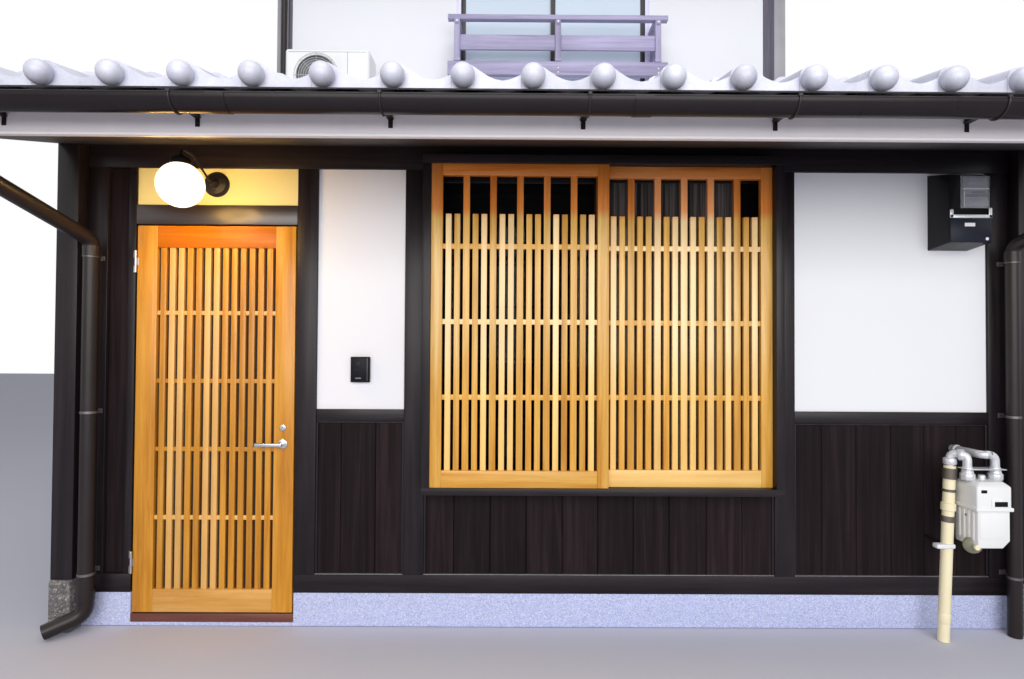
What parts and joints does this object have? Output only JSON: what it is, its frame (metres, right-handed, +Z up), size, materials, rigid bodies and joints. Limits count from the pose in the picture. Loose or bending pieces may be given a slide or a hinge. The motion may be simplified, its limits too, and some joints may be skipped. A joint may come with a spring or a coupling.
{
  "type": "machiya townhouse",
  "caption": "Two-storey timber townhouse in a row: hinged lattice door, projecting lattice window, plaster panels, pantiled lower roof and main roof, hollow rooms with real walls.",
  "frame": {"origin": "middle of the front wall's width, at the front faces of its posts, on the ground", "axes": "+X along the street to the right seen from it, +Y from the street into the house, +Z up"},
  "size_m": [5.05, 9.914, 7.5617],
  "materials": {
    "washed_aggregate": "speckled washed aggregate, matte",
    "floor_concrete": "trowelled concrete",
    "grey_render": "plain grey render with a fine grain",
    "dark_timber": "near-black brown stain over planed timber",
    "dark_boards": "dark stained upright boards with open joints",
    "pebble_stone": "coarse washed pebbles",
    "threshold_brown": "reddish brown stained sill",
    "golden_timber": "clear oiled golden softwood with straight grain",
    "dark_backing": "dark sheet behind the bars",
    "satin_metal": "satin metal",
    "white_plaster": "smooth white lime plaster",
    "dark_sash": "dark anodised sash",
    "window_glass": "clear window glass",
    "pale_grey_paint": "pale grey painted board",
    "silver_tile": "silver-grey smoked clay tile",
    "brown_gutter": "dark brown moulded plastic",
    "floor_timber": "plain floor boards",
    "purple_brown_paint": "dark purple-brown coated metal",
    "cream_metal": "off-white painted casing",
    "grey_plastic": "grey moulded plastic",
    "black_iron": "black painted iron",
    "milk_glass": "glowing opal glass",
    "black_plastic": "black moulded plastic",
    "pipe_ivory": "ivory coated steel pipe"
  },
  "bodies": {
    "house": {"air_conditioner": "cream_metal", "air_conditioner_feet": "grey_plastic", "balcony_posts": "purple_brown_paint", "balcony_rails": "purple_brown_paint", "boundary_post_stones": "pebble_stone", "boundary_posts": "dark_timber", "dado_rails": "dark_timber", "door_lintel": "dark_timber", "door_threshold": "threshold_brown", "doorphone": "black_plastic", "downpipes": "brown_gutter", "eave_fascia": "pale_grey_paint", "eave_soffit": "pale_grey_paint", "eave_tile_balls": "silver_tile", "electric_meter_box": "black_plastic", "foundations": "washed_aggregate", "gas_meter": "cream_metal", "gas_pipes": "pipe_ivory", "ground_floor": "floor_concrete", "ground_posts": "dark_timber", "gutter_brackets": "brown_gutter", "gutters": "brown_gutter", "header_beam": "dark_timber", "hinge_plates": "satin_metal", "lamp_bracket": "black_iron", "lamp_globe": "milk_glass", "lattice_left": "golden_timber", "lattice_right": "golden_timber", "lower_roof_flashing": "silver_tile", "lower_roof_tiles": "silver_tile", "main_roof_ridge": "silver_tile", "main_roof_tiles": "silver_tile", "party_wall_left": "grey_render", "party_wall_right": "grey_render", "pipe_straps": "satin_metal", "plaster_panels": "white_plaster", "rafters": "dark_timber", "roof_decks": "dark_timber", "sill_beams": "dark_timber", "upper_beams": "dark_timber", "upper_floor": "floor_timber", "upper_posts": "dark_timber", "upper_side_panels": "white_plaster", "upper_window_panels": "white_plaster", "wall_boards": "dark_boards", "window_box_boards": "dark_timber", "window_box_jambs": "dark_timber", "window_frames": "dark_sash", "window_glass": "window_glass", "window_sashes": "dark_sash"},
    "door": {"door_leaf": "golden_timber", "door_lattice": "golden_timber", "door_backing": "dark_backing", "door_hardware": "satin_metal"},
    "lever": {"door_lever": "satin_metal"}
  },
  "joints": [
    {"name": "door_hinge", "type": "hinge", "parent": "house", "child": "door", "pos_m": [-2.157, -0.006, 1], "axis": [0, 0, -1], "range_deg": [0, 95]},
    {"name": "lever_turn", "type": "hinge", "parent": "door", "child": "lever", "pos_m": [-1.382, -0.03, 0.943], "axis": [0, -1, 0], "range_deg": [0, 40], "stiffness_Nm_per_rad": 1, "springref_deg": -34.38}
  ]
}
